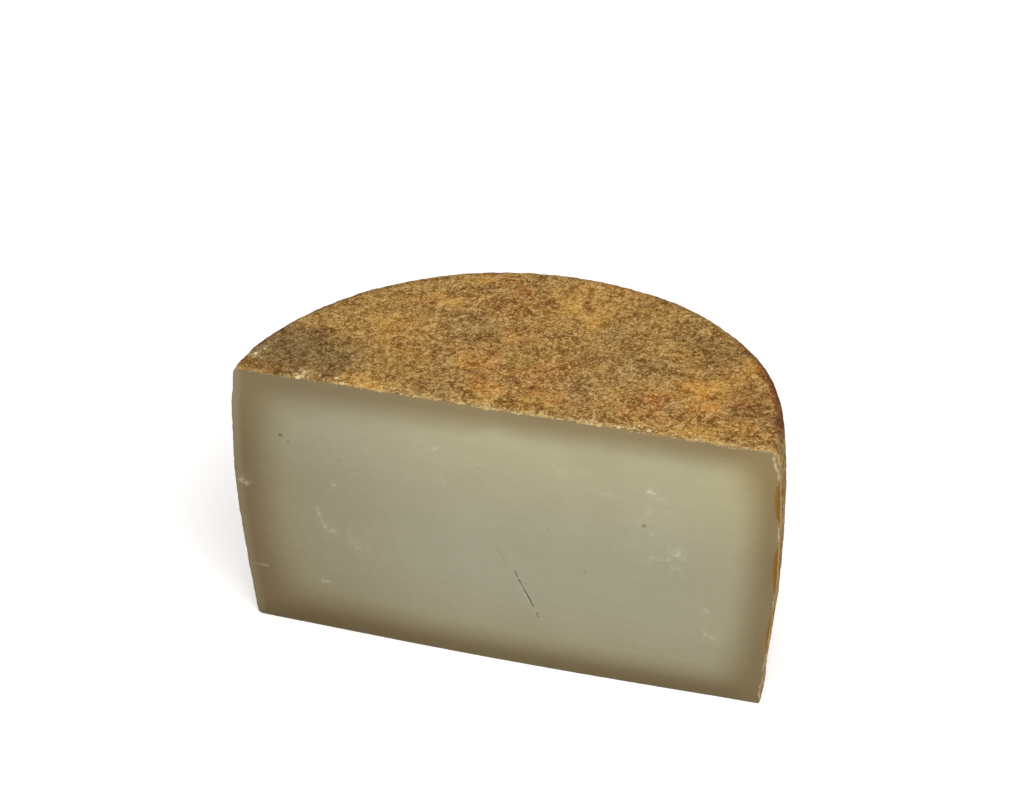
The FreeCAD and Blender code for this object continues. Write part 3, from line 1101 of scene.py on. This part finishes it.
def broken_edge(sizes, points):
    """Where the rind broke at the cut and shows its pale inside.

    It is the sum of the chips, of flecks that fade as e^-d^2 behind the cut, and of dust on the
    side at the cut's right end.
    """
    chips = edge_chips(sizes, points) / sizes.chip_depth
    rough = layered_noise(points, 3.5 * MM, 83, layers=3, gain=0.7)
    wide = layered_noise(points * np.array([1, 0, 1]), 12 * MM, 85)
    reach = (1.0 + 3.0 * np.clip(wide, 0, 1)) * MM
    x, y, z = points.T
    pale = np.maximum(DULL_LIP, humps(x / MM, PALE_LIPS))
    lip = hump(y, reach) * smoothstep(-0.15, 0.4, rough) * pale
    dust = humps(z / MM, PALE_SIDE) * hump(y, 12 * MM) * (x > 0) * smoothstep(-0.3, 0.5, rough)
    dust *= smoothstep(sizes.height, sizes.height - 3 * MM, z)
    return np.clip(1.3 * chips * pale ** 0.5 + lip + dust, 0, 1)


def rind_fields(sizes, smooth, normals):
    """The masks that the rind's material reads, at each of its points.

    The rim is darkest near both ends of the cut, a little behind it. A narrow golden and cream
    fringe lies along the right end of the cut. A darker place, painted shadow on the left of the
    top, fades as e^-(d u)^4, as in patches.
    """
    x, y, _ = smooth.T
    upness = normals[:, 2]
    uneven = layered_noise(smooth, 7 * MM, 161, layers=3)
    start = np.where(x < 0, 0, 8 * MM)
    dark_rim = smoothstep(70 * MM, 100 * MM, np.abs(x)) * smoothstep(start, start + 20 * MM, y)
    to_rim = (side_radius(sizes, sizes.height) - np.hypot(x, y)) / MM + 3 * uneven
    rim = (1 - smoothstep(0.5, 5.0, to_rim)) * smoothstep(-0.2, 0.3, upness)
    fringe = smoothstep(80 * MM, 92 * MM, x) * hump(y, 1.8 * MM)
    damp = np.zeros_like(x)
    for middle_x, middle_y, size, power in SHADOW_AND_DARK:
        away = np.hypot(x - middle_x * MM, y - middle_y * MM) / (size * MM)
        damp = np.maximum(damp, power * hump(away * (1 + 0.5 * uneven), 1, 4) * (upness > 0))
    return {
        "flank": 1 - smoothstep(0.3, 0.95, upness),
        "golden": np.maximum(patches(sizes, smooth, "golden", 101, 0.5), 0.6 * fringe),
        "russet": patches(sizes, smooth, "russet", 121, 0.4),
        "grey": patches(sizes, smooth, "grey", 141, 0.6),
        "amber": patches(sizes, smooth, "amber", 181, 0.4),
        "rim": (0.35 + 0.6 * dark_rim) * rim,
        "damp": damp,
        "cream": np.maximum.reduce([
            broken_edge(sizes, smooth), patches(sizes, smooth, "cream", 201, 0.0), 0.5 * fringe,
        ]),
        "grain": 0.5 + 0.5 * rind_grain(smooth),
    }


def front_flush(sizes, points, rows, depth):
    """Bring some points, which lie on the cut, to one depth behind its bowed face."""
    points[rows, 1] = depth - cut_bow(sizes, points[rows, 0], points[rows, 2])


def make_rind_top(sizes, looks):
    """The rind's top: a half disc of fine cells that laps over the shoulder, closed underneath.

    The sheet underneath has cells `coarser` times as wide.
    """
    columns, rows, coarser = 296, 148, 4
    lap = LAP / sizes.height
    sheets, grids = [], []
    for step, inset, flush in ((1, 0.0, OUTER_FLUSH), (coarser, sizes.rind, INNER_FLUSH)):
        across = np.linspace(-1, 1, columns // step + 1)[:, None]
        away = np.linspace(0, 1, rows // step + 1)[None, :]
        reach, way_x, way_y = half_disc(*np.broadcast_arrays(across, away))
        around = reach * (1 + lap)
        sunk = inset + DIVE * smoothstep(1 + 0.5 * lap, 1 + lap, around)
        points, smooth, normals = wheel_skin(sizes, way_x, way_y, around, sunk)
        front_flush(sizes, points, np.flatnonzero(way_y == 0), flush)
        first = sum(len(sheet[0]) for sheet in sheets)
        grids.append(first + np.arange(len(points)).reshape(around.shape))
        sheets.append((points, smooth, normals))
    points, smooth, normals = (np.concatenate(parts) for parts in zip(*sheets))
    over, under = grids
    triangles = np.concatenate([
        grid_triangles(over),
        grid_triangles(under.T),
        bridge(grid_rim(over), grid_rim(under))[:, ::-1],
    ])
    fields = rind_fields(sizes, smooth, normals)
    return add_mesh("rind_top", in_frame(points), triangles, rind_material(looks), fields)


def make_rind_side(sizes, looks):
    """The rind's side and base: a strip's section carried round the half turn, closed inside.

    The section runs from under the top piece over the side to the middle of the base, and back
    inside with fewer points.
    """
    turns, coarser = 420, 11
    lap = LAP / sizes.height
    outside = np.concatenate([
        np.linspace(0.94, 1.0, 9)[:-1],
        np.linspace(1.0, 2.0, 134)[:-1],
        2 + np.linspace(0, 1, 14) ** 1.4,
    ])
    inside = outside[::-coarser]
    around = np.concatenate([outside, inside])[None, :]
    inset = np.concatenate([np.zeros(len(outside)), np.full(len(inside), sizes.rind)])[None, :]
    sunk = inset + DIVE * (1 - smoothstep(1.0, 1 + 0.5 * lap, around))
    angle = math.pi * np.linspace(0, 1, turns + 1)[:, None]
    way_x, way_y = np.cos(angle), np.where(np.sin(angle) < 1e-9, 0, np.sin(angle))
    points, smooth, normals = wheel_skin(sizes, way_x, way_y, around, sunk)
    index = np.arange(len(points)).reshape(turns + 1, len(around[0]))
    ends = index[[0, -1]]
    front_flush(sizes, points, ends[:, :len(outside)].ravel(), OUTER_FLUSH)
    front_flush(sizes, points, ends[:, len(outside):].ravel(), INNER_FLUSH)
    for pole in (len(outside) - 1, len(outside)):
        index[:, pole] = index[0, pole]
    closed = np.column_stack([index, index[:, :1]])
    right = bridge(index[0, :len(outside)], index[0, :len(outside) - 1:-1])
    left = bridge(index[-1, :len(outside)], index[-1, :len(outside) - 1:-1])
    triangles = with_area(np.concatenate([grid_triangles(closed.T), right[:, ::-1], left]))
    used, triangles = np.unique(triangles, return_inverse=True)
    triangles = triangles.reshape(-1, 3)
    points = in_frame(points[used])
    fields = rind_fields(sizes, smooth[used], normals[used])
    return add_mesh("rind_side", points, triangles, rind_material(looks), fields)


# ---------------------------------------------------------------- crumbs


def crumb_shape():
    """Points and triangles of a small lump: an octahedron split once and pushed out to a ball."""
    corners = np.array([(1, 0, 0), (-1, 0, 0), (0, 1, 0), (0, -1, 0), (0, 0, 1), (0, 0, -1)], float)
    faces = np.array([
        (0, 2, 4), (2, 1, 4), (1, 3, 4), (3, 0, 4), (2, 0, 5), (1, 2, 5), (3, 1, 5), (0, 3, 5),
    ])
    edges = np.sort(np.concatenate([faces[:, [0, 1]], faces[:, [1, 2]], faces[:, [2, 0]]]), axis=1)
    unique, place = np.unique(edges, axis=0, return_inverse=True)
    middles = corners[unique].mean(axis=1)
    ab, bc, ca = place.reshape(3, -1) + len(corners)
    a, b, c = faces.T
    split = np.concatenate([
        np.column_stack(t) for t in ((a, ab, ca), (ab, b, bc), (ca, bc, c), (ab, bc, ca))
    ])
    points = np.concatenate([corners, middles])
    return points / np.linalg.norm(points, axis=1, keepdims=True), split


# Where crumbs gather along the cut: along X, spread in mm, share of the crumbs.
CRUMB_PILES = [
    (-86, 2.5, 0.16), (-67, 5, 0.08), (-5, 22, 0.18), (52, 10, 0.22), (88, 14, 0.14),
    (112, 2, 0.06), (0, 70, 0.16),
]

# The largest crumbs, which replace the first drawn ones: along X, distance behind the cut and
# radius in mm.
LARGE_CRUMBS = [
    (-86.2, 1.4, 1.3), (-84.6, 2.0, 0.9), (-85.3, 5.6, 0.9), (-66.5, 1.0, 0.9), (-65.0, 1.6, 0.7),
    (-110.5, 13.5, 0.9), (-108.5, 18.5, 0.6), (58.5, 2.0, 0.9), (60.0, 4.0, 0.8), (60.5, 7.0, 0.6),
]


def make_crumbs(sizes, looks, count=230):
    """Crumbs along the cut's top edge, each the same lump turned, stretched and roughened.

    Radii are 0.2 + 0.8 r^4 mm for an even draw r, so that most are small, and distances behind the
    cut follow a bell curve's one half.
    """
    rng = np.random.default_rng(7)
    middle, spreads, shares = np.array(CRUMB_PILES).T
    pile = rng.choice(len(shares), size=count, p=shares / shares.sum())
    x = (middle[pile] + spreads[pile] * rng.normal(size=count)) * MM
    top_radius = side_radius(sizes, sizes.height) - sizes.shoulder
    x = np.clip(x, -top_radius, top_radius)
    y = (0.4 + np.abs(rng.normal(scale=2.2, size=count))) * MM
    size = (0.20 + 0.80 * rng.random(count) ** 4) * MM
    placed = np.array(LARGE_CRUMBS) * MM
    x[:len(placed)], y[:len(placed)], size[:len(placed)] = placed.T
    flat = np.column_stack([x, y, np.full(count, sizes.height)])
    lie = sizes.height + rind_relief(flat, np.ones(count)) - edge_chips(sizes, flat)
    centre = np.column_stack([x, y, lie - 0.1 * size])

    unit, faces = crumb_shape()
    stretch = np.array([1.25, 1.0, 0.6]) * (1 + 0.35 * rng.uniform(-1, 1, size=(count, 1, 3)))
    turn = rng.uniform(0, 2 * math.pi, (count, 1))
    rough = 1 + 0.28 * rng.uniform(-1, 1, size=(count, len(unit), 1))
    along, across, up = np.moveaxis(unit * stretch * rough, -1, 0)
    cos, sin = np.cos(turn), np.sin(turn)
    lumps = np.stack([cos * along - sin * across, sin * along + cos * across, up], axis=-1)
    points = (centre[:, None] + lumps * size[:, None, None]).reshape(-1, 3)
    triangles = (faces[None] + (np.arange(count) * len(unit))[:, None, None]).reshape(-1, 3)
    tone = rng.random(count)
    tone[:len(placed)] = 1.0
    fields = {"tone": np.repeat(tone, len(unit))}
    return add_mesh("edge_crumbs", in_frame(points), triangles, crumb_material(looks), fields)


# ---------------------------------------------------------------- the studio

# The lamps: place and size in metres, power in watts, colour. All face the object's middle.
LAMPS = {
    "key_lamp": ((0.55, -0.75, 1.15), 0.8, 10.0, (1.0, 0.985, 0.96)),
    "front_lamp": ((0.1, -1.9, 0.7), 1.2, 7.0, (1.0, 1.0, 1.0)),
    "back_lamp": ((-0.6, 1.3, 1.4), 1.0, 9.0, (1.0, 0.99, 0.97)),
}
LAMP_AIM = (0.0, 0.0, 0.06)

WHITE = (1.0, 1.0, 1.0)
# The surround's strength as a light, beside 1 for the camera.
FILL = 0.45
# The light that lifts the floor for the camera, and where it fades to plain white, in metres.
FLOOR_LIFT = 0.34
FLOOR_FADE = (0.35, 0.9)


def add_lamp(name, place, size, power, colour):
    """A square area lamp at a place, turned towards the object."""
    data = bpy.data.lights.new(name, "AREA")
    data.size = size
    data.energy = power
    data.color = colour
    lamp = bpy.data.objects.new(name, data)
    lamp.location = place
    lamp.rotation_euler = (Vector(LAMP_AIM) - Vector(place)).to_track_quat("-Z", "Y").to_euler()
    bpy.context.scene.collection.objects.link(lamp)


def add_camera(settings):
    """The camera, from its azimuth, elevation, roll and distance about the point it looks at."""
    aim = Vector((settings.aim_side, CUT_Y, settings.aim_height))
    azimuth, elevation = settings.azimuth, settings.elevation
    back = Vector((
        math.sin(azimuth) * math.cos(elevation),
        -math.cos(azimuth) * math.cos(elevation),
        math.sin(elevation),
    ))
    level = Vector((0, 0, 1)).cross(back).normalized()
    upright = back.cross(level)
    right = level * math.cos(settings.roll) + upright * math.sin(settings.roll)
    up = upright * math.cos(settings.roll) - level * math.sin(settings.roll)
    data = bpy.data.cameras.new("camera")
    data.lens = settings.lens
    data.sensor_width = 36.0
    camera = bpy.data.objects.new("camera", data)
    turn = Matrix((right, up, back)).transposed().to_4x4()
    camera.matrix_world = Matrix.Translation(aim + back * settings.distance) @ turn
    bpy.context.scene.collection.objects.link(camera)
    bpy.context.scene.camera = camera


def studio_white(tree):
    """A socket that is 1 for what the camera sees, straight or mirrored, and 0 for other light."""
    path = add_node(tree, "ShaderNodeLightPath")
    seen = path.outputs["Is Camera Ray"]
    for name in ("Is Glossy Ray", "Is Transmission Ray"):
        inputs = {0: seen, 1: path.outputs[name]}
        seen = add_node(tree, "ShaderNodeMath", inputs, operation="MAXIMUM")
    return seen


def floor_material(settings):
    """Matt white studio board. The camera sees it lifted to white, with shadows only near by."""
    material, tree = new_material("matt_white_board")
    place = add_node(tree, "ShaderNodeTexCoord").outputs["Object"]
    away = add_node(tree, "ShaderNodeVectorMath", {0: place}, operation="LENGTH").outputs["Value"]
    far = add_node(tree, "ShaderNodeMapRange", enumerate([away, *FLOOR_FADE, 0.0, 1.0]))
    seen = studio_white(tree)
    fade = add_node(tree, "ShaderNodeMath", {0: seen, 1: far}, operation="MULTIPLY")
    lift = add_node(tree, "ShaderNodeMath", {0: seen, 1: FLOOR_LIFT}, operation="MULTIPLY")
    board = add_node(
        tree, "ShaderNodeBsdfDiffuse", {"Color": settings.floor_tone, "Roughness": 0.5},
    )
    glow = add_node(tree, "ShaderNodeEmission", {"Color": WHITE, "Strength": lift})
    near = add_node(tree, "ShaderNodeAddShader", {0: board, 1: glow})
    plain = add_node(tree, "ShaderNodeEmission", {"Color": WHITE, "Strength": 1.0})
    both = add_node(tree, "ShaderNodeMixShader", {0: fade, 1: near, 2: plain})
    add_node(tree, "ShaderNodeOutputMaterial", {"Surface": both})
    return material


def add_floor(settings, radius=30.0):
    """A wide square floor at the base's level."""
    corners = np.linspace(-radius, radius, 3)
    x, y = np.meshgrid(corners, corners, indexing="ij")
    points = np.column_stack([x.ravel(), y.ravel(), np.zeros(x.size)])
    triangles = grid_triangles(np.arange(x.size).reshape(x.shape))
    add_mesh("floor", points, triangles, floor_material(settings), {})


def add_world():
    """An even pale surround: white to the camera, and a soft fill on the object."""
    world = bpy.data.worlds.new("studio")
    bpy.context.scene.world = world
    world.use_nodes = True
    tree = world.node_tree
    tree.nodes.clear()
    seen = studio_white(tree)
    strength = add_node(tree, "ShaderNodeMapRange", enumerate([seen, 0.0, 1.0, FILL, 1.0]))
    ground = add_node(tree, "ShaderNodeBackground", {"Color": WHITE, "Strength": strength})
    add_node(tree, "ShaderNodeOutputWorld", {"Surface": ground})


# ---------------------------------------------------------------- operators and panel


class CHEESE_OT_add_paste(bpy.types.Operator):
    """Add the paste with its cut face"""

    bl_idname = "cheese.add_paste"
    bl_label = "Add Paste"

    def execute(self, context):
        scene = context.scene
        piece = make_paste(scene.cheese_sizes, scene.cheese_paste)
        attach(piece, "root")
        return {"FINISHED"}


class CHEESE_OT_add_rind(bpy.types.Operator):
    """Add the rind over the top, the side and the base"""

    bl_idname = "cheese.add_rind"
    bl_label = "Add Rind"

    def execute(self, context):
        scene = context.scene
        for make_piece in (make_rind_top, make_rind_side):
            piece = make_piece(scene.cheese_sizes, scene.cheese_rind)
            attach(piece, "root")
            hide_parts("half_wheel")
        return {"FINISHED"}


class CHEESE_OT_add_crumbs(bpy.types.Operator):
    """Add the crumbs along the cut's top edge"""

    bl_idname = "cheese.add_crumbs"
    bl_label = "Add Crumbs"

    def execute(self, context):
        scene = context.scene
        piece = make_crumbs(scene.cheese_sizes, scene.cheese_rind)
        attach(piece, "root")
        return {"FINISHED"}


class CHEESE_OT_add_stage(bpy.types.Operator):
    """Add the floor, the surround, the lamps and the camera"""

    bl_idname = "cheese.add_stage"
    bl_label = "Add Stage"

    def execute(self, context):
        settings = context.scene.cheese_stage
        add_floor(settings)
        add_world()
        for name, lamp in LAMPS.items():
            add_lamp(name, *lamp)
        add_camera(settings)
        context.scene.view_settings.view_transform = "Standard"
        return {"FINISHED"}


class CHEESE_PT_panel(bpy.types.Panel):
    """Lists what the add-on makes"""

    bl_label = "Half Wheel of Cheese"
    bl_idname = "CHEESE_PT_panel"
    bl_space_type = "VIEW_3D"
    bl_region_type = "UI"
    bl_category = "Cheese"

    def draw(self, context):
        layout = self.layout
        for operator in OPERATORS:
            layout.operator(operator.bl_idname)
        for group in GROUPS.values():
            settings = getattr(context.scene, group)
            box = layout.box()
            for name in settings.__annotations__:
                box.prop(settings, name)


OPERATORS = (CHEESE_OT_add_paste, CHEESE_OT_add_rind, CHEESE_OT_add_crumbs, CHEESE_OT_add_stage)
GROUPS = {
    CheeseWheelSizes: "cheese_sizes",
    CheesePasteLooks: "cheese_paste",
    CheeseRindLooks: "cheese_rind",
    CheeseStageSettings: "cheese_stage",
}


def register():
    """Register the classes and hang the settings on the scene."""
    for group, name in GROUPS.items():
        bpy.utils.register_class(group)
        setattr(bpy.types.Scene, name, bpy.props.PointerProperty(type=group))
    for item in (*OPERATORS, CHEESE_PT_panel):
        bpy.utils.register_class(item)


def unregister():
    """Undo what register did, in reverse."""
    for item in (CHEESE_PT_panel, *reversed(OPERATORS)):
        bpy.utils.unregister_class(item)
    for group, name in reversed(GROUPS.items()):
        delattr(bpy.types.Scene, name)
        bpy.utils.unregister_class(group)


def main():
    """Build everything in order."""
    register()
    bpy.ops.cheese.add_paste()
    bpy.ops.cheese.add_rind()
    bpy.ops.cheese.add_crumbs()
    bpy.ops.cheese.add_stage()


if __name__ == "__main__":
    main()
